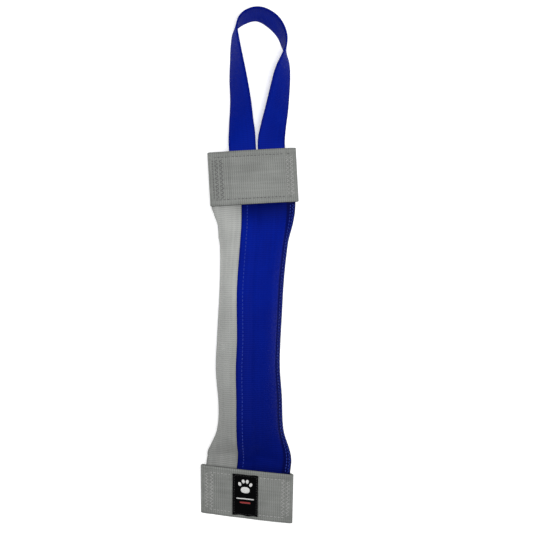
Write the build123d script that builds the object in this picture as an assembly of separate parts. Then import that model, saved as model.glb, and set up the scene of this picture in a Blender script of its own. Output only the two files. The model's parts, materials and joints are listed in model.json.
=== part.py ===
"""Training bumper: a stuffed webbing tube with two end bands and a carrying loop. Millimetres.

+X is the side with the fin seam, +Y runs towards the handle and +Z is up. The bumper lies on its back.
The origin is the middle of the flat that it rests on, under the middle of the body.
"""
from build123d import *
import math
import os

# ---- webbing ----
WEBBING_WIDTH = 50.8            # wide webbing: the four body strips and both end bands
WEBBING_THICKNESS = 1.8
STRAP_WIDTH = 25.4              # narrow webbing: the handle
STRAP_THICKNESS = 2.0

# ---- body ----
EXPOSED_LENGTH = 254.0          # body between the two end bands
STUFFED_HEIGHT = 39.2           # thickness of the stuffed body at its middle
LAP = 12.7                      # each strip lies this far over the next one
SEAM_ALLOWANCE = 8.0            # edge of the two strips that meet in the outside fin seam
FIN_TURN = 2.0                  # part of that allowance used up where the strips turn outwards
SWELL_SETBACK = 2.0             # from the mouth of a band to where the body starts to swell
SHOULDER_LENGTH = 20.0          # how quickly it swells from there
END_HALF_HEIGHT = 2.2           # half thickness of the flattened ends inside the bands
REST_FLAT_DEPTH = 0.6           # how far the underside is pressed flat
CORE_CLEARANCE = 0.6            # between the foam and the strips
CORE_SETBACK = 7.0              # from the mouth of a band to the foam
THINNEST = 0.3                  # least half height that any section keeps
PLY_GAP = 0.1                   # between the front and the back strips

# ---- end bands ----
END_MARGIN = 15.8               # of each band, beyond the ends of the body strips
BAND_CLEARANCE = 0.6            # round the flattened body inside a band
POCKET_SPARE = 1.5              # in a band, past the ends of the body strips
BAND_CORNER = 1.5               # rounded edge of a band's folds
DROOP_RUN = 30.0                # length over which the lower end of the body bends down
DROOPED_END_HEIGHT = 2.5        # height of the lower band's mid-plane at its far end

# ---- handle ----
HANDLE_REACH = 130.0            # from the top band's edge to the middle of the strap at the bow
LEG_GAP = 2.2                   # between the handle's legs at the band
LEG_MIDDLE = 8.2                # X of the gap between the legs
TAIL_SETBACK = 8.0              # from the band's mouth to the handle's sewn-in tails
TAIL_CLEARANCE = 0.15           # round a tail in its slot
FOLD_LIMIT = 135.0              # degrees that the loop folds, up and over the band
FOLD_CLEARANCE = 0.45           # between the folded strap and the band's edge
HINGE_GAP = 0.35                # between the folded strap and the corner of a tail
LOOP_ROOT = 6.5                 # straight, flat start of each leg, beyond the fold
TABLE_GAP = 0.5                 # under the loop where it stands on its edge

# The handle's route from the left leg's straight root round the bow to the right leg's. side: -1 left leg,
# +1 right leg; offset: millimetres in X from that leg's root; reach: fraction of HANDLE_REACH; roll:
# degrees from lying flat to standing on edge and beyond; lift: 1 at the root's height, 0 on the table.
HANDLE_ROUTE = (
    (-1.0, -1.3, 0.20, 20, 0.68),
    (-1.0, -2.4, 0.36, 40, 0.32),
    (-1.0, -5.0, 0.545, 51, 0.07),
    (-1.0, -6.4, 0.67, 62, 0.00),
    (-1.0, -7.6, 0.79, 72, 0.00),
    (-1.0, -7.4, 0.885, 84, 0.00),
    (-0.8, -5.6, 0.945, 106, 0.00),
    (0.0, -0.4, 1.00, 128, 0.00),
    (0.7, 7.0, 0.935, 130, 0.00),
    (1.0, 10.5, 0.854, 116, 0.00),
    (1.0, 13.2, 0.765, 98, 0.00),
    (1.0, 13.5, 0.69, 78, 0.00),
    (1.0, 11.4, 0.59, 58, 0.03),
    (1.0, 8.6, 0.45, 45, 0.14),
    (1.0, 5.4, 0.32, 35, 0.38),
    (1.0, 2.2, 0.19, 20, 0.68),
)
SPAN_SECTIONS = 2               # of the loop's loft, from one row of the route to the next

# ---- label ----
LABEL_WIDTH = 24.5
LABEL_LENGTH = 44.5
LABEL_THICKNESS = 0.9
LABEL_OFFSET = -0.4             # X of the label's middle

# ---- thread ----
STITCH_LENGTH = 2.6
STITCH_WIDTH = 0.8
STITCH_HEIGHT = 0.4
STITCH_PITCH = 4.2
THREAD_GAP = 0.35               # between a stitch and the curved cloth below it
LAP_ROW_INSET = 5.2             # of the lap seam's stitches from the strip's edge
SIDE_ROW_INSET = 3.0            # of the side lap's stitches from the left fold
FIN_ROW_INSET = 3.4             # of the fin's stitches from the ridge
BAND_ROW_INSET = 5.2            # of a band's long rows from its edges
ZIGZAG_INSET = 5.0              # of a zigzag from the end of the band's row
ZIGZAG_ANGLE = 55.0
LABEL_ROW_INSET = 1.6

# ---- worked out from the sizes above ----
GIRTH = 4 * WEBBING_WIDTH - 3 * LAP - 2 * SEAM_ALLOWANCE
HALF_EXPOSED = EXPOSED_LENGTH / 2
MID_HEIGHT = STUFFED_HEIGHT / 2 - REST_FLAT_DEPTH
BODY_TAIL = WEBBING_WIDTH - END_MARGIN
DROOP = math.asin((MID_HEIGHT - DROOPED_END_HEIGHT) / (WEBBING_WIDTH + DROOP_RUN / 2))
DROOP_RADIUS = DROOP_RUN / math.sin(DROOP)
DROOP_START = HALF_EXPOSED - DROOP_RUN


def ellipse_girth(a, b):
    """Length of the outline of an ellipse with the half sizes a and b."""
    return math.pi * (3 * (a + b) - math.sqrt((3 * a + b) * (a + 3 * b)))


def half_width(half_height):
    """Half width of a section whose outline is as long as the girth of the sewn tube."""
    low = 0.0
    high = GIRTH / 4
    while high - low > 0.0001:
        middle = (low + high) / 2
        if ellipse_girth(middle, half_height) < GIRTH:
            low = middle
        else:
            high = middle
    return low


def half_height(y):
    """Half height of the body at y: flat in the bands, swelling quickly to the stuffed height."""
    inward = max(0.0, HALF_EXPOSED - SWELL_SETBACK - abs(y))
    swell = 1 - math.exp(-((inward / SHOULDER_LENGTH) ** 1.5))
    return END_HALF_HEIGHT + (STUFFED_HEIGHT / 2 - END_HALF_HEIGHT) * swell


def mid_height(y):
    """Height of the body's mid-plane at y: level, then bent down towards the lower band."""
    past = -y - DROOP_START
    if past <= 0:
        return MID_HEIGHT
    bend = min(past, DROOP_RUN)
    dropped = DROOP_RADIUS - math.sqrt(DROOP_RADIUS ** 2 - bend ** 2)
    return MID_HEIGHT - dropped - max(0.0, past - DROOP_RUN) * math.tan(DROOP)


END_HALF_WIDTH = half_width(END_HALF_HEIGHT)
SEAM_X = END_HALF_WIDTH - (WEBBING_WIDTH - SEAM_ALLOWANCE)
FIN_REACH = SEAM_ALLOWANCE - FIN_TURN

BAND_BACK_ROOM = END_HALF_HEIGHT + BAND_CLEARANCE
BAND_LEFT = -(END_HALF_WIDTH + BAND_CLEARANCE + WEBBING_THICKNESS)
BAND_RIGHT = END_HALF_WIDTH + FIN_REACH + BAND_CLEARANCE + WEBBING_THICKNESS
TAIL_LEVEL = BAND_BACK_ROOM + TAIL_CLEARANCE + STRAP_THICKNESS / 2
SLOT_HALF_HEIGHT = STRAP_THICKNESS / 2 + TAIL_CLEARANCE
TOP_FRONT_ROOM = TAIL_LEVEL + SLOT_HALF_HEIGHT
LEG_SPACING = STRAP_WIDTH + LEG_GAP

BAND_EDGE_Y = HALF_EXPOSED + WEBBING_WIDTH
FOLD_BACK = math.radians(180 - FOLD_LIMIT)
HINGE_REACH = (STRAP_THICKNESS / 2 + FOLD_CLEARANCE
               + (SLOT_HALF_HEIGHT + WEBBING_THICKNESS) * math.cos(FOLD_BACK)) / math.sin(FOLD_BACK)
HINGE_Y = BAND_EDGE_Y + HINGE_REACH
TAIL_REACH = STRAP_THICKNESS / 2 * (1 + math.cos(FOLD_BACK)) + HINGE_GAP
TAIL_END_Y = HINGE_Y - TAIL_REACH / math.sin(FOLD_BACK)
HINGE_Z = MID_HEIGHT + TAIL_LEVEL


# ---- body ----
def stations():
    """Y of the lofted sections between the bands, close together where the body swells."""
    inward = [0.0] + [SWELL_SETBACK + d for d in (0.0, 3.0, 6.5, 11.0, 17.0, 26.0, 45.0, 84.0)]
    upper = [HALF_EXPOSED - d for d in inward]
    return [-y for y in upper] + [0.0] + upper[::-1]


def section_plane(y):
    return Plane(origin=(0, y, mid_height(y)), x_dir=(1, 0, 0), z_dir=(0, 1, 0))


def body_section(y, offset):
    """An ellipse of the body's girth, moved out by offset all round (in, where it is negative)."""
    b = half_height(y)
    return section_plane(y) * Ellipse(half_width(b) + offset, max(b + offset, THINNEST))


def fin_section(y, offset):
    """Both plies of the seam that stands out along the right side."""
    width = FIN_REACH + WEBBING_THICKNESS / 2
    x = half_width(half_height(y)) + FIN_REACH - width / 2
    return section_plane(y) * Pos(x, 0) * Rectangle(width + offset, 2 * WEBBING_THICKNESS + PLY_GAP)


def with_tails(section, offset):
    """A loft through section(y, offset) between the bands, with its flat tails inside the bands."""
    shape = loft([section(y, offset) for y in stations()])
    lower_end = -HALF_EXPOSED - BODY_TAIL * math.cos(DROOP)
    shape += loft([section(lower_end, offset), section(-HALF_EXPOSED, offset)])
    shape += loft([section(HALF_EXPOSED, offset), section(HALF_EXPOSED + BODY_TAIL, offset)])
    return shape


def above_mid_plane():
    """Everything above the body's bent mid-plane."""
    top = 4 * STUFFED_HEIGHT
    end = HALF_EXPOSED + 2 * WEBBING_WIDTH
    bend_end = (-HALF_EXPOSED, mid_height(-HALF_EXPOSED))
    level = Line((end, MID_HEIGHT), (-DROOP_START, MID_HEIGHT))
    bend = TangentArc((-DROOP_START, MID_HEIGHT), bend_end, tangent=(-1, 0))
    slope = Line(bend_end, (-end, mid_height(-end)))
    rest = Polyline((-end, mid_height(-end)), (-end, top), (end, top), (end, MID_HEIGHT))
    profile = make_face([level, bend, slope, rest])
    return extrude(Plane.YZ * profile, amount=2 * WEBBING_WIDTH, both=True)


def right_of(x):
    size = 8 * WEBBING_WIDTH
    return Pos(x + size / 2, 0, 0) * Box(size, 2 * EXPOSED_LENGTH, size)


def body_strips():
    """The four strips of the tube: two above the mid-plane and two below it."""
    tube = with_tails(body_section, 0) - with_tails(body_section, -WEBBING_THICKNESS)
    tube += with_tails(fin_section, 0)
    upper = above_mid_plane()
    front = tube & Pos(0, 0, PLY_GAP / 2) * upper
    back = tube - Pos(0, 0, -PLY_GAP / 2) * upper
    table = Pos(0, 0, -STUFFED_HEIGHT / 2) * Box(4 * WEBBING_WIDTH, 2 * EXPOSED_LENGTH, STUFFED_HEIGHT)
    back -= table
    blue_side = right_of(SEAM_X)
    return {
        "front_blue_strip": front & blue_side,
        "front_grey_strip": front - blue_side,
        "back_grey_strip": back & blue_side,
        "back_blue_strip": back - blue_side,
    }


def foam_core():
    offset = -WEBBING_THICKNESS - CORE_CLEARANCE
    filling = loft([body_section(y, offset) for y in stations()])
    return filling & Box(4 * WEBBING_WIDTH, EXPOSED_LENGTH - 2 * CORE_SETBACK, 4 * STUFFED_HEIGHT)


# ---- end bands, built with the mouth's middle at the origin and +Y pointing away from the body ----
def top_place(part):
    return Pos(0, HALF_EXPOSED, MID_HEIGHT) * part


def bottom_place(part):
    mirrored = mirror(part, about=Plane.XZ)
    return Pos(0, -HALF_EXPOSED, mid_height(-HALF_EXPOSED)) * Rot(math.degrees(DROOP), 0, 0) * mirrored


def end_band(front_room, end_room):
    """Webbing wrapped round the flattened body. The front ply is level and the back ply rises to meet
    it, leaving end_room between the plies at the far end."""
    front = front_room + WEBBING_THICKNESS
    pocket_end = BODY_TAIL + POCKET_SPARE
    outline = Polyline(
        (0, -BAND_BACK_ROOM - WEBBING_THICKNESS),
        (0, front),
        (WEBBING_WIDTH, front),
        (WEBBING_WIDTH, front_room - end_room - WEBBING_THICKNESS),
        (pocket_end, -BAND_BACK_ROOM - WEBBING_THICKNESS),
        close=True,
    )
    band = Pos(BAND_LEFT, 0, 0) * extrude(Plane.YZ * make_face(outline), amount=BAND_RIGHT - BAND_LEFT)
    folds = [e for e in band.edges().filter_by(Axis.Y) if e.length > BODY_TAIL]
    band = fillet(folds, BAND_CORNER)
    low = (BAND_LEFT + WEBBING_THICKNESS, -1.0, -BAND_BACK_ROOM)
    pocket = Box(BAND_RIGHT - BAND_LEFT - 2 * WEBBING_THICKNESS, pocket_end + 1.0,
                 front_room + BAND_BACK_ROOM, align=(Align.MIN, Align.MIN, Align.MIN))
    return band - Pos(*low) * pocket


def leg_x(side):
    return LEG_MIDDLE + side * LEG_SPACING / 2


def top_end_band():
    band = end_band(TOP_FRONT_ROOM, 2 * SLOT_HALF_HEIGHT)
    slot = Box(STRAP_WIDTH + 2 * TAIL_CLEARANCE, 2 * WEBBING_WIDTH, 2 * SLOT_HALF_HEIGHT)
    for side in (-1, 1):
        band -= Pos(leg_x(side), WEBBING_WIDTH, TAIL_LEVEL) * slot
    return top_place(band)


def bottom_end_band():
    return bottom_place(end_band(BAND_BACK_ROOM, 0.0))


def woven_label():
    plate = fillet(Box(LABEL_WIDTH, LABEL_LENGTH, LABEL_THICKNESS).edges().filter_by(Axis.Z), 0.8)
    face = BAND_BACK_ROOM + WEBBING_THICKNESS
    return bottom_place(Pos(LABEL_OFFSET, WEBBING_WIDTH / 2, face + LABEL_THICKNESS / 2) * plate)


# ---- handle ----
def handle_tail(side):
    """The fixed end of one leg, sandwiched in the top band. It stops short of the folded strap."""
    start = HALF_EXPOSED + TAIL_SETBACK
    tail = Box(STRAP_WIDTH, TAIL_END_Y - start, STRAP_THICKNESS)
    return Pos(leg_x(side), (start + TAIL_END_Y) / 2, HINGE_Z) * tail


def resting_height(roll):
    """Height of the strap's middle line where its lower edge rests on the table."""
    turn = math.radians(roll)
    return (STRAP_WIDTH * math.sin(turn) + STRAP_THICKNESS * abs(math.cos(turn))) / 2 + TABLE_GAP


def strap_section(point, along, roll):
    """The strap's section where its middle line runs along, rolled by so many degrees."""
    turn = math.radians(roll)
    inward = Vector(along.Y, -along.X, 0).normalized()
    across = inward * math.cos(turn) + Vector(0, 0, 1) * math.sin(turn)
    across = (across - along * across.dot(along)).normalized()
    return Plane(origin=point, x_dir=across, z_dir=along) * Rectangle(STRAP_WIDTH, STRAP_THICKNESS)


def handle_loop():
    """The free part of the handle: straight, flat roots, and sections of the strap along its route."""
    lift = HINGE_Z - resting_height(0)
    root_y = HINGE_Y + LOOP_ROOT
    points = [Vector(leg_x(-1), root_y, HINGE_Z)]
    for side, offset, reach, roll, raised in HANDLE_ROUTE:
        y = BAND_EDGE_Y + HANDLE_REACH * reach
        points.append(Vector(leg_x(side) + offset, y, resting_height(roll) + raised * lift))
    points.append(Vector(leg_x(1), root_y, HINGE_Z))
    rolls = [0] + [row[3] for row in HANDLE_ROUTE] + [0]
    route = Spline(*points)
    places = [route.param_at_point(point) for point in points]
    out = Vector(0, 1, 0)
    sections = [strap_section(Vector(leg_x(-1), HINGE_Y, HINGE_Z), out, 0), strap_section(points[0], out, 0)]
    for i in range(len(points) - 1):
        for k in range(SPAN_SECTIONS):
            share = k / SPAN_SECTIONS
            place = places[i] + share * (places[i + 1] - places[i])
            roll = rolls[i] + share * (rolls[i + 1] - rolls[i])
            if i + k > 0:
                sections.append(strap_section(route.position_at(place), route.tangent_at(place), roll))
    sections.append(strap_section(points[-1], -out, 0))
    sections.append(strap_section(Vector(leg_x(1), HINGE_Y, HINGE_Z), -out, 0))
    loop = loft(sections, ruled=True)
    length = route.length + 2 * LOOP_ROOT
    print("handle: loop %.1f mm, volume %.0f, section x length %.0f"
          % (length, loop.volume, length * STRAP_WIDTH * STRAP_THICKNESS))
    return loop


# ---- thread ----
def stitch_positions(length):
    count = int(length / STITCH_PITCH)
    return [(i - (count - 1) / 2) * STITCH_PITCH for i in range(count)]


def body_row(row_x, side):
    """Stitches on the curved body at row_x(y), on its upper side (1) or its underside (-1)."""
    stitch = Box(STITCH_WIDTH, STITCH_LENGTH, STITCH_HEIGHT)
    stitches = []
    for y in stitch_positions(EXPOSED_LENGTH - 2 * STITCH_PITCH):
        b = half_height(y)
        a = half_width(b)
        x = row_x(a)
        surface = b * math.sqrt(1 - (x / a) ** 2)
        lean = math.atan2(x * b * b, a * a * surface)
        climb = math.atan2(side * (half_height(y + 1) - half_height(y - 1)) * surface / b
                           + mid_height(y + 1) - mid_height(y - 1), 2)
        lift = THREAD_GAP + STITCH_HEIGHT / 2
        place = Pos(x + lift * math.sin(lean), y, mid_height(y) + side * (surface + lift * math.cos(lean)))
        turned = place * Rot(math.degrees(climb), side * math.degrees(lean), 0) * stitch
        if turned.bounding_box().min.Z > 0:
            stitches.append(turned)
    return Compound(children=stitches)


def fin_row():
    """Stitches on the upper ply of the fin seam."""
    stitch = Box(STITCH_WIDTH, STITCH_LENGTH, STITCH_HEIGHT)
    lift = WEBBING_THICKNESS + PLY_GAP + STITCH_HEIGHT / 2 + THREAD_GAP
    stitches = []
    for y in stitch_positions(EXPOSED_LENGTH - 2 * STITCH_PITCH):
        slope = math.degrees(math.atan2(mid_height(y + 1) - mid_height(y - 1), 2))
        x = half_width(half_height(y)) + FIN_ROW_INSET
        stitches.append(Pos(x, y, mid_height(y) + lift) * Rot(slope, 0, 0) * stitch)
    return Compound(children=stitches)


def band_row(y, front_room, end_room, covered):
    """One row across a band at y, on its front and on its back. The front's stitches leave out the
    stretch of X that is covered."""
    stitch = Box(STITCH_LENGTH, STITCH_WIDTH, STITCH_HEIGHT)
    front_z = front_room + WEBBING_THICKNESS + STITCH_HEIGHT / 2
    back_z = -BAND_BACK_ROOM - WEBBING_THICKNESS
    taper_start = BODY_TAIL + POCKET_SPARE
    taper = 0.0
    if y > taper_start:
        rise = front_room - end_room + BAND_BACK_ROOM
        taper = math.atan2(rise, WEBBING_WIDTH - taper_start)
        back_z += (y - taper_start) * math.tan(taper)
    normal = (STITCH_HEIGHT / 2 + THREAD_GAP) / math.cos(taper)
    middle = (BAND_LEFT + BAND_RIGHT) / 2
    stitches = []
    for x in stitch_positions(BAND_RIGHT - BAND_LEFT - 3 * STITCH_PITCH):
        if not covered[0] < middle + x < covered[1]:
            stitches.append(Pos(middle + x, y, front_z) * stitch)
        stitches.append(Pos(middle + x, y, back_z - normal) * Rot(math.degrees(taper), 0, 0) * stitch)
    return Compound(children=stitches)


def band_zigzag(x, front_room):
    """A column of zigzag stitches up one side of a band, on its front."""
    stitch = Box(1.6 * STITCH_LENGTH, STITCH_WIDTH, STITCH_HEIGHT)
    z = front_room + WEBBING_THICKNESS + STITCH_HEIGHT / 2
    stitches = []
    for i, y in enumerate(stitch_positions(WEBBING_WIDTH - 2 * BAND_ROW_INSET - STITCH_PITCH)):
        angle = ZIGZAG_ANGLE if i % 2 else -ZIGZAG_ANGLE
        stitches.append(Pos(x, WEBBING_WIDTH / 2 + y, z) * Rot(0, 0, angle) * stitch)
    return Compound(children=stitches)


def band_threads(name, place, front_room, end_room, covered=(0.0, 0.0)):
    outer = band_row(WEBBING_WIDTH - BAND_ROW_INSET, front_room, end_room, covered)
    inner = band_row(BAND_ROW_INSET, front_room, end_room, covered)
    return {
        name + "_outer_thread": place(outer),
        name + "_inner_thread": place(inner),
        name + "_left_zigzag": place(band_zigzag(BAND_LEFT + ZIGZAG_INSET, front_room)),
        name + "_right_zigzag": place(band_zigzag(BAND_RIGHT - ZIGZAG_INSET, front_room)),
    }


def label_thread():
    """Stitches round the edge of the label."""
    stitch = Box(STITCH_LENGTH, STITCH_WIDTH, STITCH_HEIGHT)
    z = BAND_BACK_ROOM + WEBBING_THICKNESS + LABEL_THICKNESS + STITCH_HEIGHT / 2
    half_x = LABEL_WIDTH / 2 - LABEL_ROW_INSET
    half_y = LABEL_LENGTH / 2 - LABEL_ROW_INSET
    stitches = []
    for side in (-1, 1):
        for x in stitch_positions(2 * half_x - STITCH_PITCH / 2):
            stitches.append(Pos(LABEL_OFFSET + x, WEBBING_WIDTH / 2 + side * half_y, z) * stitch)
        for y in stitch_positions(2 * half_y - STITCH_PITCH / 2):
            place = Pos(LABEL_OFFSET + side * half_x, WEBBING_WIDTH / 2 + y, z)
            stitches.append(place * Rot(0, 0, 90) * stitch)
    return bottom_place(Compound(children=stitches))


def body_threads():
    lap_x = SEAM_X + LAP_ROW_INSET
    return {
        "front_lap_thread": body_row(lambda a: lap_x, 1),
        "back_lap_thread": body_row(lambda a: lap_x, -1),
        "side_lap_thread": body_row(lambda a: SIDE_ROW_INSET - a, 1),
        "fin_seam_thread": fin_row(),
    }


def build():
    nodes = {
        "foam_core": foam_core(),
        "top_end_band": top_end_band(),
        "bottom_end_band": bottom_end_band(),
        "woven_label": woven_label(),
        "handle_tail_left": handle_tail(-1),
        "handle_tail_right": handle_tail(1),
        "handle_loop": handle_loop(),
        "label_thread": label_thread(),
    }
    nodes.update(body_strips())
    nodes.update(body_threads())
    nodes.update(band_threads("top_band", top_place, TOP_FRONT_ROOM, 2 * SLOT_HALF_HEIGHT))
    half_label = (LABEL_WIDTH + STITCH_LENGTH) / 2 + THREAD_GAP
    under_label = (LABEL_OFFSET - half_label, LABEL_OFFSET + half_label)
    nodes.update(band_threads("bottom_band", bottom_place, BAND_BACK_ROOM, 0.0, under_label))
    return nodes


os.makedirs("parts", exist_ok=True)
for node, shape in build().items():
    export_step(shape, "parts/%s.step" % node)
print("hinge at y %.3f z %.3f, droop %.2f degrees" % (HINGE_Y, HINGE_Z, math.degrees(DROOP)))
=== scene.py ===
"""Looks of the training bumper: webbing strips over a stuffed form, wrapped bands, strap loop, thread.

Design coordinates are millimetres on a straight, level bumper: x across, y along, h above the mid-plane.
lie() turns them into the row frame, in metres, with the bumper lying as it rests on a table.
"""
import json
import math

import bmesh
import bpy
import numpy as np
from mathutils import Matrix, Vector
from mathutils.bvhtree import BVHTree


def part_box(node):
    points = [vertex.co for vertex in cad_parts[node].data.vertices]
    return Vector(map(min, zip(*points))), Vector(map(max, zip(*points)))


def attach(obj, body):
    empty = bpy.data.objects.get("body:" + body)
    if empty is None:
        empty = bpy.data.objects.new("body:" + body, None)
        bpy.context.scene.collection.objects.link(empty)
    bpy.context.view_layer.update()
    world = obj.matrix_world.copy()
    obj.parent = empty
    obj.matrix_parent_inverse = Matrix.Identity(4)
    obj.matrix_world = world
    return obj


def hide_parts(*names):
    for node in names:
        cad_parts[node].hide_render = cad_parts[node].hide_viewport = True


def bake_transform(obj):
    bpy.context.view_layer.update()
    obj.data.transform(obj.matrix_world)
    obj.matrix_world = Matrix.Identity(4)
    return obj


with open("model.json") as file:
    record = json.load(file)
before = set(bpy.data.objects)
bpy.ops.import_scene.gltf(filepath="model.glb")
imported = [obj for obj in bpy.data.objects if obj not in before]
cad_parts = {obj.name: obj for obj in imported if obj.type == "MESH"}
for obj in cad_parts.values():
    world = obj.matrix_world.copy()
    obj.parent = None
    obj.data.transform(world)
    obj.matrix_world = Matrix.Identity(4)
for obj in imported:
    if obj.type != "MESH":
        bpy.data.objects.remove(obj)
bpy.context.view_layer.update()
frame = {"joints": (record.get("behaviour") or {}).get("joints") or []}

MM = 0.001

# ---- sizes taken from the frame ----
band_low, band_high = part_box("top_end_band")
MOUTH_Y = band_low.y / MM                       # of the end bands, from the middle of the body
BAND_WIDTH = (band_high.y - band_low.y) / MM
BAND_LEFT = band_low.x / MM
BAND_RIGHT = band_high.x / MM
hinge = Vector(frame["joints"][0]["pos_m"])
HINGE_Z = hinge.z / MM
tail_low, tail_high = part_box("handle_tail_left")
LEFT_LEG_X = (tail_low.x + tail_high.x) / 2 / MM
STRAP_WIDTH = (tail_high.x - tail_low.x) / MM
STRAP_THICKNESS = (tail_high.z - tail_low.z) / MM
tail_low, tail_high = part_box("handle_tail_right")
RIGHT_LEG_X = (tail_low.x + tail_high.x) / 2 / MM
BODY_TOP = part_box("front_blue_strip")[1].z / MM
LABEL_SHIFT = 1.4               # of the label from its plain place, on the band as it is turned
label_low, label_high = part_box("woven_label")
LABEL_WIDTH = (label_high.x - label_low.x) / MM
LABEL_X = (label_low.x + label_high.x) / 2 / MM + LABEL_SHIFT

# ---- webbing and seams, in millimetres ----
WEBBING_WIDTH = 50.8
PLY = 1.5                       # one layer of the wide webbing, pressed by its stitching
LAP = 12.7
SEAM_ALLOWANCE = 8.0
GIRTH = 4 * WEBBING_WIDTH - 3 * LAP - 2 * SEAM_ALLOWANCE
HALF_STUFFED = 19.6
MID_HEIGHT = BODY_TOP - HALF_STUFFED
END_HALF_HEIGHT = 2.2
TOP_SWELL = (0.0, 24.0, 1.0)    # setback, length and power of the swell from the top band
BOTTOM_SWELL = (8.0, 20.0, 1.8)         # and from the bottom band, where the body first stays flat
RIDGE_DROP = ((-119.0, 0.1), (-69.0, -1.3), (-30.0, 0.6), (-5.0, 0.9), (45.0, -1.5), (98.0, -1.3),
              (120.0, -1.8))    # y and how far the ridge is below the side of the form
RIDGE_POINT = 1.55              # lower is a sharper ridge on the side of the fin
FULLNESS = 0.4                  # how much wider each side of the body is, most at FULLEST_Y
FULLEST_Y = -32.0
FULL_RUN = 38.0                 # and how far along it that fades away
TUCK = 28.0                     # of the strips inside each band, as their meshes are made
FIN_ANGLE = 52.0                # degrees that the fin hangs below level, along the middle
FIN_END_ANGLE = 8.0             # and beside the bands
LABEL_LENGTH = 44.5
SEAM_PLACE = WEBBING_WIDTH - SEAM_ALLOWANCE         # from the ridge to the lapped edge, front and back
SIDE_EDGE_PLACE = SEAM_PLACE - LAP + WEBBING_WIDTH  # of the front grey strip, behind the left fold

# ---- stuffing ----
FOAM_SETBACK = 3.0              # from the mouth of a band to the foam
FOAM_CLEARANCE = 0.9            # between the foam and the laid-over strips
FOAM_MESH = 4.5                 # size of the cloth simulation's mesh
FOAM_SWELL = 1.4                # most that it may swell
BULGE_LIMIT = 1.0               # most that it may push the strips in or out

# ---- mesh steps ----
ROW_STEP = 1.6                  # of the strips' meshes along the body
COLUMN_STEP = 1.3               # and across it
HANDLE_STEP = 1.5               # of the strap's mesh along it
STITCH_PATH_STEP = 1.5          # of the paths that the thread on the bands follows

# ---- end bands ----
FOLD_RADIUS = 3.4
BAND_TRIM = 0.2
TOP_SPARE = (0.0, 0.0)
BOTTOM_SPARE = (2.8, 2.0)       # the bottom band is slacker, and reaches further left and right
TOP_FACE = 3.7                  # height of the top band's front face at its folds
TOP_UNDERSIDE = -3.4
BOTTOM_FACE = 3.6
BOTTOM_UNDERSIDE = -3.3
TAIL_BULGE = 1.5                # of the top band over the handle's two tails

# ---- thread ----
LAP_ROW = 5.2                   # from a lapped edge to its stitches
BAND_ROW = 5.2                  # from a band's edges to its two long rows
FIN_ROW = 3.4                   # from the ridge, out on the fin
FIN_EDGE_ROW = 6.3
LABEL_ROW = 1.5                 # from the label's edges
FOLD_ROW = 4.4                  # from the top band's left side to the row beside its fold
STITCH_PITCH = 3.6
ROW_MARGIN = 5.5                # from a band's sides to the ends of its long rows
ZIGZAG_GAP = 4.6                # between the two columns of a band's zigzag
ON_CLOTH = 0.12                 # height of a row's middle above the cloth

# ---- how the bumper lies ----
TOP_YAW = 3.2                   # degrees that the top band is turned
BOTTOM_YAW = -6.2
TURN_START = 70.0               # from the middle of the body to where it starts to turn with them
BOTTOM_LEAN = 0.15              # share of that turn that the bottom band's sides follow
LEAST_HEIGHT = 0.05             # of any point above the table
DROOP_RUN = 30.0                # length over which the body bends down to the bottom band
DROOPED_END_HEIGHT = 2.5
LEFT_EXTRA_DROOP = 4.0          # degrees that the bottom band hangs lower at its left
SPINE = ((-127.0, -1.4), (-95.0, 2.2), (-65.0, 2.7), (-30.0, 0.2), (0.0, 1.2), (45.0, 3.6),
         (90.0, 5.9), (110.0, 6.6), (127.0, 5.3))       # y and sideways place of the body's middle line
DROOP = math.asin((MID_HEIGHT - DROOPED_END_HEIGHT) / (BAND_WIDTH + DROOP_RUN / 2))

# The handle's route: side -1 is the left leg and 1 the right one, offset is in millimetres from that
# leg, reach is the fraction of the loop's length, roll is in degrees from flat to on edge, and lift is 1
# at the root's height.
HANDLE_REACH = 132.5
TABLE_GAP = 0.3                 # under the strap where it stands on its edge
TAIL_SETBACK = 12.0             # from the top band's mouth to the strap's sewn-in ends
FREE_RUN = 22.0                 # past the band's edge, over which the strap stops following its turn
HANDLE_ROUTE = (
    (-1.0, 0.0, 0.05, 0, 1.00),
    (-1.0, -1.3, 0.18, 22, 0.62),
    (-1.0, -2.4, 0.36, 40, 0.28),
    (-1.0, -5.0, 0.545, 51, 0.07),
    (-1.0, -6.4, 0.67, 62, 0.00),
    (-1.0, -7.6, 0.79, 72, 0.00),
    (-1.0, -7.4, 0.885, 82, 0.00),
    (-0.8, -5.6, 0.945, 97, 0.00),
    (0.0, -0.4, 1.00, 107, 0.00),
    (0.7, 7.0, 0.935, 112, 0.00),
    (1.0, 10.5, 0.854, 106, 0.00),
    (1.0, 13.2, 0.765, 98, 0.00),
    (1.0, 13.5, 0.69, 78, 0.00),
    (1.0, 11.4, 0.59, 58, 0.03),
    (1.0, 8.6, 0.45, 45, 0.14),
    (1.0, 5.4, 0.30, 33, 0.36),
    (1.0, 1.8, 0.16, 20, 0.66),
    (1.0, 0.0, 0.05, 0, 1.00),
)


# ---- small helpers ----
def smooth(t):
    t = np.clip(t, 0.0, 1.0)
    return t * t * (3 - 2 * t)


def through(points, y):
    """A smooth curve through (y, value) points, level beyond its ends."""
    ys = np.array([p[0] for p in points])
    values = np.array([p[1] for p in points])
    slopes = np.gradient(values, ys)
    y = np.clip(np.asarray(y, float), ys[0], ys[-1])
    i = np.clip(np.searchsorted(ys, y) - 1, 0, len(ys) - 2)
    run = ys[i + 1] - ys[i]
    t = (y - ys[i]) / run
    return ((2 * t ** 3 - 3 * t ** 2 + 1) * values[i] + (t ** 3 - 2 * t ** 2 + t) * run * slopes[i]
            + (3 * t ** 2 - 2 * t ** 3) * values[i + 1] + (t ** 3 - t ** 2) * run * slopes[i + 1])


def unit(v):
    return v / np.maximum(np.linalg.norm(v, axis=-1, keepdims=True), 1e-9)


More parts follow.
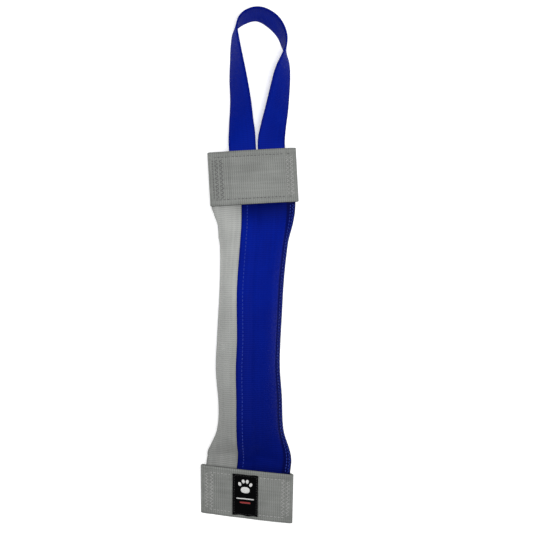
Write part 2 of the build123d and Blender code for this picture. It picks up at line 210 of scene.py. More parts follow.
# ---- how the bumper lies ----
def mid_height(y):
    """Height of the mid-plane: level, then bent down to the bottom band."""
    radius = DROOP_RUN / math.sin(DROOP)
    past = -np.asarray(y, float) - (MOUTH_Y - DROOP_RUN)
    bend = np.clip(past, 0.0, DROOP_RUN)
    return (MID_HEIGHT - (radius - np.sqrt(radius ** 2 - bend ** 2))
            - np.maximum(past - DROOP_RUN, 0.0) * math.sin(DROOP))


def lie(points):
    """Design coordinates, in millimetres, to the row frame, in metres."""
    p = np.asarray(points, float)
    x, y, h = p[..., 0], p[..., 1], p[..., 2]
    inside = np.clip(y, -MOUTH_Y, MOUTH_Y)
    out = y - inside
    run = MOUTH_Y - TURN_START
    yaw = np.radians(TOP_YAW * smooth((inside - TURN_START) / run)
                     + BOTTOM_YAW * smooth((-inside - TURN_START) / run))
    pitch = np.where(out < 0, DROOP, 0.0)
    centre = through(SPINE, inside)
    level_out = out * np.cos(pitch) - h * np.sin(pitch)
    lean = np.where(out < 0, BOTTOM_LEAN, 1.0)
    new_x = centre + x * np.cos(yaw) - level_out * np.sin(yaw) * lean
    new_y = inside + x * np.sin(yaw) + level_out * np.cos(yaw)
    left = smooth((BAND_RIGHT - x) / (BAND_RIGHT - BAND_LEFT))
    extra = np.minimum(out, 0.0) * np.sin(math.radians(LEFT_EXTRA_DROOP)) * left
    new_z = mid_height(y) + h * np.cos(pitch) + extra
    return np.stack([new_x, new_y, np.maximum(new_z, LEAST_HEIGHT)], axis=-1) * MM


# ---- the stuffed form ----
def swelling(y, setback, length, power):
    """0 in the band and 1 where the body is fully stuffed."""
    inward = np.maximum(MOUTH_Y - setback - np.abs(y), 0.0)
    return 1 - np.exp(-((inward / length) ** power))


def half_height(y):
    swell = np.where(y > 0, swelling(y, *TOP_SWELL), swelling(y, *BOTTOM_SWELL))
    return END_HALF_HEIGHT + (HALF_STUFFED - END_HALF_HEIGHT) * swell


def ridge_drop(y):
    return through(RIDGE_DROP, y)


def half_width(b):
    """Half width of an ellipse of the tube's girth and the half height b."""
    low = np.zeros_like(b)
    high = np.full_like(b, GIRTH / 4)
    for _ in range(40):
        a = (low + high) / 2
        short = math.pi * (3 * (a + b) - np.sqrt((3 * a + b) * (a + 3 * b))) < GIRTH
        low = np.where(short, a, low)
        high = np.where(short, high, a)
    return low


def form_sections(y, inset):
    """Sections of the form at y: points from the ridge over the front, round the left fold and back."""
    y = np.asarray(y, float)
    b = half_height(y)
    a = half_width(b) + FULLNESS * np.exp(-((y - FULLEST_Y) / FULL_RUN) ** 2)
    b = (b - inset)[:, None]
    a = (a - inset)[:, None]
    angle = np.linspace(0, 2 * math.pi, 721)[None, :]
    c, s = np.cos(angle), np.sin(angle)
    flatness = smooth((b - END_HALF_HEIGHT) / 8.0)
    power = 2 / np.where(c > 0, 2 + (RIDGE_POINT - 2) * flatness, 2.0)
    x = a * np.sign(c) * np.abs(c) ** power
    h = b * np.sign(s) * np.abs(s) ** power
    return x, h


def form_points(y, girth):
    """Points of the form at each y (rows) and each distance round from the ridge (columns)."""
    x, h = form_sections(y, PLY)
    along = np.concatenate([np.zeros((len(y), 1)),
                            np.cumsum(np.hypot(np.diff(x, axis=1), np.diff(h, axis=1)), axis=1)], axis=1)
    drop = ridge_drop(y)
    grid = np.zeros((len(y), len(girth), 3))
    for i in range(len(y)):
        # the last stretch round to the ridge is counted back from it
        place = girth - drop[i]
        place = np.where(place >= 0, place, along[i, -1] + place)
        grid[i, :, 0] = np.interp(place, along[i], x[i])
        grid[i, :, 2] = np.interp(place, along[i], h[i])
    grid[:, :, 1] = y[:, None]
    return grid


# ---- meshes ----
def webbing_mesh(name, outer, inner, across, along, closed=False, edge=0.35):
    """A strap of webbing: rows run along it and columns across it. outer and inner are its two faces and
    across and along its UVs, all in metres. Its two edges are rounded."""
    n = outer.shape[0]
    bulge = edge * MM
    right = (outer[:, -1] + inner[:, -1]) / 2 + unit(outer[:, -1] - outer[:, -2]) * bulge
    left = (outer[:, 0] + inner[:, 0]) / 2 + unit(outer[:, 0] - outer[:, 1]) * bulge
    loop = np.concatenate([outer, right[:, None], inner[:, ::-1], left[:, None]], axis=1)
    k = loop.shape[1]
    u = np.concatenate([across, across[-1:], across[::-1], across[:1]])
    verts = loop.reshape(-1, 3)
    faces = []
    face_uvs = []
    rows = n if closed else n - 1
    span = along[1] - along[0]
    for i in range(rows):
        nxt = (i + 1) % n
        v0 = along[i]
        v1 = along[i + 1] if i + 1 < n else along[i] + span
        for j in range(k):
            nj = (j + 1) % k
            faces.append((i * k + j, i * k + nj, nxt * k + nj, nxt * k + j))
            u1 = u[nj] if nj else u[0]
            face_uvs += [(u[j], v0), (u1, v0), (u1, v1), (u[j], v1)]
    if not closed:
        faces.append(tuple(range(k - 1, -1, -1)))
        face_uvs += [(u[j], along[0]) for j in range(k - 1, -1, -1)]
        faces.append(tuple((n - 1) * k + j for j in range(k)))
        face_uvs += [(u[j], along[-1]) for j in range(k)]
    return make_piece(name, verts, faces, face_uvs)


def make_piece(name, verts, faces, face_uvs=None):
    mesh = bpy.data.meshes.new(name)
    mesh.from_pydata([tuple(v) for v in verts], [], faces)
    if face_uvs:
        layer = mesh.uv_layers.new(name="UVMap")
        layer.data.foreach_set("uv", np.array(face_uvs, np.float32).ravel())
    work = bmesh.new()
    work.from_mesh(mesh)
    bmesh.ops.recalc_face_normals(work, faces=work.faces)
    work.to_mesh(mesh)
    work.free()
    for polygon in mesh.polygons:
        polygon.use_smooth = True
    obj = bpy.data.objects.new(name, mesh)
    bpy.context.scene.collection.objects.link(obj)
    return obj


def surface_normals(grid):
    """Unit normals of a grid of points, towards cross(along columns, along rows)."""
    across = np.gradient(grid, axis=1)
    along = np.gradient(grid, axis=0)
    return unit(np.cross(across, along))


# ---- materials ----
def new_material(name):
    material = bpy.data.materials.new(name)
    material.use_nodes = True
    nodes = material.node_tree.nodes
    nodes.clear()
    out = nodes.new("ShaderNodeOutputMaterial")
    shader = nodes.new("ShaderNodeBsdfPrincipled")
    material.node_tree.links.new(shader.outputs[0], out.inputs[0])
    return material, shader


class Wiring:
    """Short ways to add and join nodes in one material's tree."""

    def __init__(self, material):
        self.nodes = material.node_tree.nodes
        self.links = material.node_tree.links

    def put(self, socket, value):
        if isinstance(value, bpy.types.NodeSocket):
            self.links.new(value, socket)
        else:
            socket.default_value = value

    def math(self, operation, a, b=0.0, c=0.0):
        node = self.nodes.new("ShaderNodeMath")
        node.operation = operation
        for socket, value in zip(node.inputs, (a, b, c)):
            self.put(socket, value)
        return node.outputs[0]

    def noise(self, vector, scale, detail):
        node = self.nodes.new("ShaderNodeTexNoise")
        self.put(node.inputs["Vector"], vector)
        node.inputs["Scale"].default_value = scale
        node.inputs["Detail"].default_value = detail
        node.inputs["Roughness"].default_value = 0.55
        return node.outputs["Fac"]

    def mix(self, factor, a, b):
        node = self.nodes.new("ShaderNodeMix")
        node.data_type = "RGBA"
        self.put(node.inputs["Factor"], factor)
        self.put(node.inputs["A"], a)
        self.put(node.inputs["B"], b)
        return node.outputs["Result"]

    def ramp(self, value, low, high):
        node = self.nodes.new("ShaderNodeMapRange")
        node.interpolation_type = "SMOOTHSTEP"
        self.put(node.inputs["Value"], value)
        node.inputs["From Min"].default_value = low
        node.inputs["From Max"].default_value = high
        return node.outputs["Result"]

    def bump(self, height, distance, strength=1.0, normal=None):
        node = self.nodes.new("ShaderNodeBump")
        node.inputs["Distance"].default_value = distance
        node.inputs["Strength"].default_value = strength
        self.put(node.inputs["Height"], height)
        if normal is not None:
            self.put(node.inputs["Normal"], normal)
        return node.outputs[0]


def woven_height(w, uv, u, v, rib, column):
    """Height of the weave, from 0 to 1: ribs across the strap, crossed by staggered warp columns."""
    waver = w.math("MULTIPLY", w.noise(uv, 90.0, 2.0), 0.45)        # no rib is quite straight
    rib_turn = w.math("ADD", w.math("MULTIPLY", v, 1 / (rib * MM)), waver)
    column_turn = w.math("MULTIPLY", u, 1 / (column * MM))
    parity = w.math("MODULO", w.math("FLOOR", w.math("ADD", column_turn, 1000.0)), 2.0)
    shifted = w.math("ADD", rib_turn, w.math("MULTIPLY", parity, 0.5))

    def wave(turn):
        return w.math("ABSOLUTE", w.math("SINE", w.math("MULTIPLY", turn, math.pi)))

    return w.math("ADD", w.math("MULTIPLY", wave(rib_turn), 0.62),
                  w.math("MULTIPLY", w.math("MULTIPLY", wave(shifted), wave(column_turn)), 0.38))


def mouth_shade_and_fade(w, v, mouth_shade, fade):
    """How much darker a body strip is painted: painted shade softly near both mouths, darker towards its
    bottom end, and a painted shadow most of all in the crease right at a mouth."""
    from_centre = w.math("ABSOLUTE", w.math("SUBTRACT", v, (MOUTH_Y + TUCK) * MM))
    soft = w.math("MULTIPLY", w.ramp(from_centre, (MOUTH_Y - 26) * MM, MOUTH_Y * MM), mouth_shade)
    lower = w.math("MULTIPLY", w.ramp(v, 230 * MM, 25 * MM), fade)
    crease = w.ramp(from_centre, (MOUTH_Y - 2.2) * MM, (MOUTH_Y - 0.4) * MM)
    return w.math("MAXIMUM", w.math("MAXIMUM", soft, lower), w.math("MULTIPLY", crease, 0.75))


def webbing_material(name, light, dark, width, rib, column, roughness, sheen, specular, edge_shading, depth,
                     fin_shade_width=0.0, mouth_shade=0.0, fade=0.0):
    """Ribbed woven webbing on the strap's own UVs: ribs across it, warp columns along it, a firm edge.
    edge_shading is how much lighter (painted highlight) or darker (painted shade) its two edges are.
    fin_shade_width is the width of painted shade along its first edge, where the fin faces away from the
    light. mouth_shade is how much painted shade a body strip gets near the bands, and fade how much
    darker it gets towards its bottom end."""
    material, shader = new_material(name)
    w = Wiring(material)
    uv = w.nodes.new("ShaderNodeUVMap").outputs[0]
    split = w.nodes.new("ShaderNodeSeparateXYZ")
    w.links.new(uv, split.inputs[0])
    u, v = split.outputs[0], split.outputs[1]
    spot = w.nodes.new("ShaderNodeTexCoord").outputs["Object"]

    cloth = woven_height(w, uv, u, v, rib, column)
    # a smooth woven edge on both sides, painted lighter as a highlight or darker as shade
    from_middle = w.math("ABSOLUTE", w.math("SUBTRACT", u, width * MM / 2))
    edge = w.ramp(from_middle, (width / 2 - 2.2) * MM, (width / 2 - 1.2) * MM)
    painted_edge_shading = w.math("MULTIPLY", edge, edge_shading)

    patches = w.ramp(w.noise(spot, 34.0, 4.0), 0.34, 0.68)
    fuzz = w.noise(spot, 2400.0, 2.0)
    drawn = w.nodes.new("ShaderNodeCombineXYZ")         # warp yarns that lie a little prouder
    w.put(drawn.inputs[0], u)
    w.put(drawn.inputs[1], w.math("MULTIPLY", v, 0.03))
    streaks = w.ramp(w.noise(drawn.outputs[0], 420.0, 2.0), 0.35, 0.7)
    shade = w.math("ADD", w.math("MULTIPLY", cloth, 0.5), w.math("MULTIPLY", patches, 0.18))
    shade = w.math("ADD", shade, w.math("MULTIPLY", streaks, 0.14))
    shade = w.math("ADD", w.math("ADD", shade, w.math("MULTIPLY", fuzz, 0.18)), painted_edge_shading)
    colour = w.mix(shade, (*dark, 1), (*light, 1))
    # painted shade along the fin, which faces away from the light
    if fin_shade_width:
        fin_shade_mask = w.math("SUBTRACT", 1.0, w.ramp(u, (fin_shade_width - 0.5) * MM, (fin_shade_width + 1.4) * MM))
        colour = w.mix(w.math("MULTIPLY", fin_shade_mask, 0.8), colour, (*[0.45 * c for c in dark], 1))
    # painted shade near both mouths, a painted shadow in the crease at each mouth, and darker towards the
    # bottom end
    if mouth_shade:
        colour = w.mix(mouth_shade_and_fade(w, v, mouth_shade, fade), colour, (*[0.12 * c for c in dark], 1))
    w.put(shader.inputs["Base Color"], colour)
    w.put(shader.inputs["Roughness"], w.math("ADD", roughness, w.math("MULTIPLY", patches, 0.08)))
    shader.inputs["Specular IOR Level"].default_value = specular
    shader.inputs["Sheen Weight"].default_value = sheen
    shader.inputs["Sheen Roughness"].default_value = 0.45
    shader.inputs["Sheen Tint"].default_value = (*[c / max(light) for c in light], 1)
    flat_edge = w.math("MULTIPLY", cloth, w.math("SUBTRACT", 1.0, w.math("MULTIPLY", edge, 0.7)))
    normal = w.bump(flat_edge, depth * MM)
    w.put(shader.inputs["Normal"], w.bump(fuzz, 0.05 * MM, 0.5, normal))
    return material


def thread_material(name, colour):
    """Twisted sewing thread: fine slanting lines along each stitch."""
    material, shader = new_material(name)
    w = Wiring(material)
    spot = w.nodes.new("ShaderNodeTexCoord").outputs["Object"]
    wave = w.nodes.new("ShaderNodeTexWave")
    wave.wave_type = "BANDS"
    wave.bands_direction = "DIAGONAL"
    wave.inputs["Scale"].default_value = 900.0
    wave.inputs["Distortion"].default_value = 1.5
    w.links.new(spot, wave.inputs["Vector"])
    dark = tuple(0.55 * c for c in colour)
    shader.inputs["Specular IOR Level"].default_value = 0.1
    w.put(shader.inputs["Base Color"], w.mix(wave.outputs["Fac"], (*dark, 1), (*colour, 1)))
    shader.inputs["Roughness"].default_value = 0.5
    shader.inputs["Sheen Weight"].default_value = 0.2
    w.put(shader.inputs["Normal"], w.bump(wave.outputs["Fac"], 0.06 * MM, 0.7))
    return material


def label_material(name):
    """Black woven label: a fine satin weave with faint picks."""
    material, shader = new_material(name)
    w = Wiring(material)
    uv = w.nodes.new("ShaderNodeUVMap").outputs[0]
    split = w.nodes.new("ShaderNodeSeparateXYZ")
    w.links.new(uv, split.inputs[0])
    pick = w.math("SINE", w.math("MULTIPLY", split.outputs[1], 2 * math.pi / (0.34 * MM)))
    warp = w.math("SINE", w.math("MULTIPLY", split.outputs[0], 2 * math.pi / (0.3 * MM)))
    weave = w.math("MULTIPLY_ADD", w.math("MULTIPLY", pick, warp), 0.5, 0.5)
    dark, light = (0.0003, 0.0003, 0.0004, 1), (0.0025, 0.0025, 0.003, 1)
    w.put(shader.inputs["Base Color"], w.mix(weave, dark, light))
    shader.inputs["Roughness"].default_value = 0.6
    shader.inputs["Specular IOR Level"].default_value = 0.02
    w.put(shader.inputs["Normal"], w.bump(weave, 0.04 * MM, 0.8))
    return material


def foam_material(name):
    """Closed-cell foam: pale, with small cells."""
    material, shader = new_material(name)
    w = Wiring(material)
    spot = w.nodes.new("ShaderNodeTexCoord").outputs["Object"]
    cells = w.nodes.new("ShaderNodeTexVoronoi")
    cells.inputs["Scale"].default_value = 900.0
    w.links.new(spot, cells.inputs["Vector"])
    distance = cells.outputs["Distance"]
    w.put(shader.inputs["Base Color"], w.mix(distance, (0.62, 0.62, 0.58, 1), (0.86, 0.86, 0.82, 1)))
    shader.inputs["Roughness"].default_value = 0.75
    w.put(shader.inputs["Normal"], w.bump(distance, 0.1 * MM, 0.6))
    return material


def finish_piece(obj, material, body, slot, *nodes):
    obj.data.materials.clear()
    obj.data.materials.append(material)
    if body:
        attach(obj, body)
    if nodes:
        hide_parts(*nodes)
    return obj


# ---- stuffing ----
def stuffed_form():
    """The foam filling, swelled inside its cover by a cloth simulation, and how far it bulges."""
    y = np.linspace(-MOUTH_Y + FOAM_SETBACK, MOUTH_Y - FOAM_SETBACK, 96)
    x, h = form_sections(y, 2 * PLY + FOAM_CLEARANCE)
    picks = np.linspace(0, x.shape[1] - 1, 97).astype(int)[:-1]
    grid = np.stack([x[:, picks], np.repeat(y[:, None], len(picks), 1), h[:, picks]], axis=-1)
    n, m = grid.shape[:2]
    faces = [(i * m + j, i * m + (j + 1) % m, (i + 1) * m + (j + 1) % m, (i + 1) * m + j)
             for i in range(n - 1) for j in range(m)]
    faces.append(tuple(range(m - 1, -1, -1)))
    faces.append(tuple((n - 1) * m + j for j in range(m)))
    pad = make_piece("foam_filling", grid.reshape(-1, 3) * MM, faces)
    remesh = pad.modifiers.new("even", "REMESH")
    remesh.mode = "VOXEL"
    remesh.voxel_size = FOAM_MESH * MM
    apply_modifiers(pad)
    swell(pad, cap=FOAM_SWELL * MM)
    subdivide = pad.modifiers.new("finer", "SUBSURF")
    subdivide.levels = 1
    subdivide.render_levels = 1
    apply_modifiers(pad)
    tree = BVHTree.FromObject(pad, bpy.context.evaluated_depsgraph_get())
    points = np.array([v.co for v in pad.data.vertices]) / MM
    pad.data.vertices.foreach_set("co", lie(points).ravel())
    pad.data.update()
    return pad, tree


def apply_modifiers(obj):
    evaluated = obj.evaluated_get(bpy.context.evaluated_depsgraph_get())
    mesh = bpy.data.meshes.new_from_object(evaluated)
    obj.modifiers.clear()
    old = obj.data
    obj.data = mesh
    bpy.data.meshes.remove(old)
    for polygon in mesh.polygons:
        polygon.use_smooth = True


def swell(pad, cap):
    """Inflates the pad as cloth with its two ends held, and keeps every point within cap of its start."""
    start = np.array([v.co for v in pad.data.vertices])
    held = pad.vertex_groups.new(name="held")
    ends = [i for i, co in enumerate(start) if abs(co[1]) > (MOUTH_Y - 9.0) * MM]
    held.add(ends, 1.0, "REPLACE")
    cloth = pad.modifiers.new("cloth", "CLOTH")
    cloth.settings.quality = 6
    cloth.settings.mass = 0.2
    cloth.settings.tension_stiffness = 25
    cloth.settings.compression_stiffness = 25
    cloth.settings.bending_stiffness = 0.4
    cloth.settings.vertex_group_mass = "held"
    cloth.settings.use_pressure = True
    cloth.settings.uniform_pressure_force = 4
    cloth.settings.effector_weights.gravity = 0
    cloth.point_cache.frame_start = 1
    cloth.point_cache.frame_end = 20
    for step in range(1, 21):
        bpy.context.scene.frame_set(step)
    apply_modifiers(pad)
    bpy.context.scene.frame_set(1)
    moved = np.array([v.co for v in pad.data.vertices]) - start
    far = np.linalg.norm(moved, axis=1, keepdims=True)
    moved *= np.minimum(1.0, cap / np.maximum(far, 1e-9))
    pad.data.vertices.foreach_set("co", (start + moved).ravel())
    pad.data.update()


def bulges(tree, grid):
    """How far the swelled filling stands out beyond the plain form along each point's direction, in
    millimetres, smoothed."""
    out = np.zeros(grid.shape[:2])
    for i in range(grid.shape[0]):
        for j in range(grid.shape[1]):
            x, y, h = grid[i, j]
            reach = math.hypot(x, h)
            if abs(y) > MOUTH_Y - 6 or reach < 1:
                continue
            way = Vector((x / reach, 0, h / reach))
            hit = tree.ray_cast(Vector((0, y * MM, 0)), way)
            if hit[0] is not None:
                out[i, j] = math.hypot(hit[0].x, hit[0].z) / MM - reach
    middle = np.median(out[np.abs(grid[:, 0, 1]) < 60]) if np.any(out) else 0.0
    ease = smooth((MOUTH_Y - 4 - np.abs(grid[:, :1, 1])) / 14)
    out = np.clip(out - middle, -BULGE_LIMIT, BULGE_LIMIT) * ease
    for _ in range(2):
        padded = np.pad(out, 1, mode="edge")
        out = (padded[:-2, 1:-1] + padded[2:, 1:-1] + padded[1:-1, :-2] + padded[1:-1, 2:] + 2 * out) / 6
    return out


# ---- the body's strips ----
def strip_rows():
    """Y of the strips' rows, evenly spaced from end to end."""
    end = MOUTH_Y + TUCK
    return np.arange(-end, end + 0.01, ROW_STEP)


def fin_direction(y):
    ease = smooth((MOUTH_Y - np.abs(y) - 4) / 34)
    angle = np.radians(FIN_END_ANGLE + (FIN_ANGLE - FIN_END_ANGLE) * ease)
    return np.cos(angle), -np.sin(angle)


def strip_base(y, place, side):
    """The form's surface under a strip. place is the distance from the ridge: over the front for side 1,
    over the back for side -1. Negative places are out on the fin."""
    tube = np.maximum(place, 0.0)
    grid = form_points(y, tube if side > 0 else np.minimum(-tube, -1e-6))
    out = np.maximum(-place, 0.0)
    cos, sin = fin_direction(y)
    grid[:, :, 0] += cos[:, None] * out
    grid[:, :, 2] += sin[:, None] * out
    return grid


def strip_surface(y, place, side, height, tree=None):
    """Points and normals of a strip whose outer face stands height(place) off the form."""
    base = strip_base(y, place, side)
    normal = surface_normals(base) * -side
    for _ in range(2):
        normal[:, 1:-1] = unit(normal[:, :-2] + 2 * normal[:, 1:-1] + normal[:, 2:])
    lift = np.broadcast_to(height, base.shape[:2]).copy()
    if tree is not None:
        lift += bulges(tree, base) * smooth((place - 1.0) / 8.0)
    return base + normal * lift[..., None], normal


def lap_height(place, lapped_edge):
    """One ply, and two where the strip lies over its neighbour, beside its lapped edge if it has one."""
    if lapped_edge is None:
        return PLY + 0 * place
    inside = np.abs(place - lapped_edge)
    over = 1 - smooth((inside - (LAP + 0.5)) / 4.0)
    return PLY * (1 + over)


def strip_places(first, last):
    count = int(round((last - first) / COLUMN_STEP)) + 1
    return np.linspace(first, last, count)


def body_strip(name, side, first, last, lapped_edge, material, slot, node, tree):
    y = strip_rows()
    place = strip_places(first, last)
    crease = np.array([-0.6, -0.2, 0.2, 0.6])
    if first < 0:
        place = np.sort(np.concatenate([place[np.abs(place) > 0.9], crease]))
    outer, normal = strip_surface(y, place, side, lap_height(place, lapped_edge), tree)
    outer[:, :, 2] += dimples(y, place, side)
    inner = outer - normal * (PLY - 0.06)
    piece = webbing_mesh(name, lie(outer), lie(inner), (place - place[0]) * MM, (y - y[0]) * MM)
    finish_piece(piece, material, "bumper", slot, node)


def dimples(y, place, side):
    """The pull of the stitches along the lapped edge, in millimetres of height."""
    row = np.exp(-((place - (SEAM_PLACE - LAP_ROW)) / 1.1) ** 2)[None, :]
    beat = 0.16 + 0.07 * np.cos(2 * math.pi * y / STITCH_PITCH)[:, None]
    inside = smooth((MOUTH_Y - 3 - np.abs(y)) / 8)[:, None]
    return -side * row * beat * inside


def make_body(materials):
    filling, tree = stuffed_form()
    finish_piece(filling, materials["foam"], "bumper", "foam", "foam_core")
    blue, grey, fin_shaded_blue = materials["blue"], materials["grey"], materials["fin_shaded_blue"]
    back_edge = GIRTH - 2 * math.pi * PLY - (SIDE_EDGE_PLACE - LAP)
    # the name's front part, side, first and last place, lapped edge, colour and slot
    strips = (("front_blue", 1, -SEAM_ALLOWANCE, SEAM_PLACE, SEAM_PLACE, fin_shaded_blue, "blue_webbing"),
              ("back_grey", -1, -SEAM_ALLOWANCE, SEAM_PLACE, SEAM_PLACE, grey, "grey_webbing"),
              ("front_grey", 1, SEAM_PLACE - LAP, SIDE_EDGE_PLACE, SIDE_EDGE_PLACE, grey, "grey_webbing"),
              ("back_blue", -1, SEAM_PLACE - LAP, back_edge, None, blue, "blue_webbing"))
    for word, side, first, last, lapped, material, slot in strips:
        body_strip(word + "_webbing", side, first, last, lapped, material, slot, word + "_strip", tree)
    return tree


# ---- end bands ----
def band_section(front, back, spare, out):
    """The outline of a band's outer face at one distance out from its mouth: front ply from left to
    right, right fold, back ply, left fold. front(x, out) and back(x, out) give its heights, and spare
    is how much further its left and right folds reach."""
    left = BAND_LEFT + BAND_TRIM + FOLD_RADIUS - spare[0]
    right = BAND_RIGHT - BAND_TRIM - FOLD_RADIUS + spare[1]
    xs = np.linspace(left, right, 60)
    turn = np.linspace(math.pi / 2, -math.pi / 2, 13)[1:-1]
    top_right, low_right = front(right, out), back(right, out)
    top_left, low_left = front(left, out), back(left, out)
    points = [(x, front(x, out)) for x in xs]
    middle, radius = (top_right + low_right) / 2, (top_right - low_right) / 2
    points += [(right + FOLD_RADIUS * math.cos(t), middle + radius * math.sin(t)) for t in turn]
    points += [(x, back(x, out)) for x in xs[::-1]]
    middle, radius = (top_left + low_left) / 2, (top_left - low_left) / 2
    points += [(left - FOLD_RADIUS * math.cos(t), middle + radius * math.sin(t)) for t in turn[::-1]]
    return np.array(points)


def row_dip(out):
    """The pull of a band's two long rows of stitches."""
    rows = (BAND_ROW, BAND_WIDTH - BAND_ROW)
    return 0.42 * sum(math.exp(-((out - r) / 1.5) ** 2) for r in rows)


def side_dip(x):
    return 0.3 * sum(math.exp(-((x - c) / 3.2) ** 2) for c in (BAND_LEFT + 8.0, BAND_RIGHT - 8.0))


def fold_groove(x):
    """The stitched crease beside the top band's rounded left fold."""
    return 0.7 * math.exp(-((x - BAND_LEFT - 5.0) / 0.9) ** 2)


def ripple(x, out, phase):
    """Slow unevenness of a sewn band."""
    return (0.22 * math.sin(x / 9.0 + phase) * math.cos(out / 15.0 + phase)
            + 0.12 * math.sin(x / 4.1 + 2 * phase + out / 21.0))


def lip(out, rise):
    """A band's mouth stands a little open."""
    return rise * math.exp(-out / 5.0)


def band_crown(x, reach=1.0):
    """A band is lower towards its folds."""
    t = (x - (BAND_LEFT + BAND_RIGHT) / 2) / ((BAND_RIGHT - BAND_LEFT) / 2)
    return reach * (1 - abs(t) ** 3.5)


def tails_under(x):
    """1 over the handle's two tails, falling to 0 beside them."""
    left_edge = LEFT_LEG_X - STRAP_WIDTH / 2
    right_edge = RIGHT_LEG_X + STRAP_WIDTH / 2
    return float(smooth((x - left_edge + 2.5) / 3.0) * smooth((right_edge + 2.5 - x) / 3.0))


def top_front(x, out):
    return (TOP_FACE + band_crown(x) + TAIL_BULGE * tails_under(x) + lip(out, 0.7) - row_dip(out)
            - side_dip(x) - fold_groove(x) + ripple(x, out, 0.6))


def top_back(x, out):
    rise = 3.0 * float(smooth((out - 28.0) / 20.0))
    return TOP_UNDERSIDE - band_crown(x, 0.6) + rise + row_dip(out) * 0.8 + ripple(x, out, 2.2)


def bottom_front(x, out):
    closing = 0.9 * float(smooth((out - 34.0) / 14.0))
    return (BOTTOM_FACE + band_crown(x) + lip(out, 1.3) - closing - row_dip(out) - side_dip(x)
            + ripple(x, out, 4.1))


def bottom_back(x, out):
    rise = 3.2 * float(smooth((out - 30.0) / 18.0))
    return BOTTOM_UNDERSIDE - band_crown(x, 0.5) + rise + row_dip(out) * 0.8 + ripple(x, out, 5.3)


def end_band(name, end, front, back, spare, material, node):
    """A band of webbing wrapped round the end of the body. end is 1 at the top and -1 at the bottom."""
    outs = np.linspace(0, BAND_WIDTH, 40)
    sections = np.stack([band_section(front, back, spare, out) for out in outs], axis=1)
    n, m = sections.shape[:2]
    grid = np.zeros((n, m, 3))
    grid[:, :, 0] = sections[:, :, 0]
    grid[:, :, 1] = end * (MOUTH_Y + outs)[None, :]
    grid[:, :, 2] = sections[:, :, 1]
    ring = np.concatenate([grid[-2:], grid, grid[:2]])
    normal = surface_normals(ring)[2:-2] * end
    inner = grid - normal * PLY * sense(grid, normal)
    step = np.linalg.norm(np.diff(np.concatenate([grid[:, 0], grid[:1, 0]]), axis=0), axis=1)
    along = np.concatenate([[0], np.cumsum(step)[:-1]])
    piece = webbing_mesh(name, lie(grid), lie(inner), outs * MM, along * MM, closed=True, edge=0.3)
    finish_piece(piece, material, "bumper", "grey_band", node)


def sense(grid, normal):
    """1 if the normals point away from the band's middle, and -1 if they point inwards."""
    middle = grid.mean(axis=(0, 1))
    return 1.0 if np.mean(np.sum((grid - middle) * normal, axis=-1)) > 0 else -1.0


# ---- handle ----
def handle_path():
    """Middle line and roll of the strap, in design millimetres, with z as the height."""
    edge = MOUTH_Y + BAND_WIDTH
    points = []
    for side, offset, reach, roll, lift in HANDLE_ROUTE:
        leg = (LEFT_LEG_X + RIGHT_LEG_X) / 2 + side * (RIGHT_LEG_X - LEFT_LEG_X) / 2
        turn = math.radians(roll)
        rest = (STRAP_WIDTH * math.sin(turn) + STRAP_THICKNESS * abs(math.cos(turn))) / 2 + TABLE_GAP
        flat = STRAP_THICKNESS / 2 + TABLE_GAP
        z = rest + lift * (HINGE_Z - flat)
        points.append((leg + offset, edge + HANDLE_REACH * reach, z, roll))
    points = np.array(points)
    tails = np.arange(MOUTH_Y + TAIL_SETBACK, edge + 1.5, 9.0)
    left = np.array([(LEFT_LEG_X, y, HINGE_Z, 0) for y in tails])
    right = np.array([(RIGHT_LEG_X, y, HINGE_Z, 0) for y in tails[::-1]])
    points = np.concatenate([left, points, right])
    chord = np.concatenate([[0], np.cumsum(np.linalg.norm(np.diff(points[:, :3], axis=0), axis=1))])
    at = np.arange(0, chord[-1], HANDLE_STEP)
    fine = np.stack([through(list(zip(chord, points[:, k])), at) for k in range(4)], axis=1)
    for _ in range(3):
        fine[2:-2] = (fine[:-4] + 2 * fine[1:-3] + 2 * fine[2:-2] + 2 * fine[3:-1] + fine[4:]) / 8
    return fine


def strap_frames(path):
    """Centre, direction across and face normal of the strap along its path."""
    centre, roll = path[:, :3], np.radians(path[:, 3])
    along = unit(np.gradient(centre, axis=0))
    inward = unit(np.stack([along[:, 1], -along[:, 0], np.zeros(len(along))], axis=1))
    up = np.array([0.0, 0.0, 1.0])
    across = inward * np.cos(roll)[:, None] + up * np.sin(roll)[:, None]
    across = unit(across - along * np.sum(across * along, axis=1, keepdims=True))
    return centre, across, unit(np.cross(across, along))


def handle_place(points):
    """Design coordinates of the handle, whose third number is a height, to the row frame."""
    p = np.asarray(points, float)
    moved = lie(np.stack([p[..., 0], p[..., 1], p[..., 2] - MID_HEIGHT], axis=-1))
    edge = MOUTH_Y + BAND_WIDTH
    root = lie(np.array([[(LEFT_LEG_X + RIGHT_LEG_X) / 2, edge, 0.0]]))[0] / MM
    shift = root - np.array([(LEFT_LEG_X + RIGHT_LEG_X) / 2, edge, MID_HEIGHT])
    straight = (p + np.array([shift[0], shift[1], 0.0])) * MM
    free = smooth((p[..., 1:2] - edge) / FREE_RUN)
    return moved * (1 - free) + straight * free


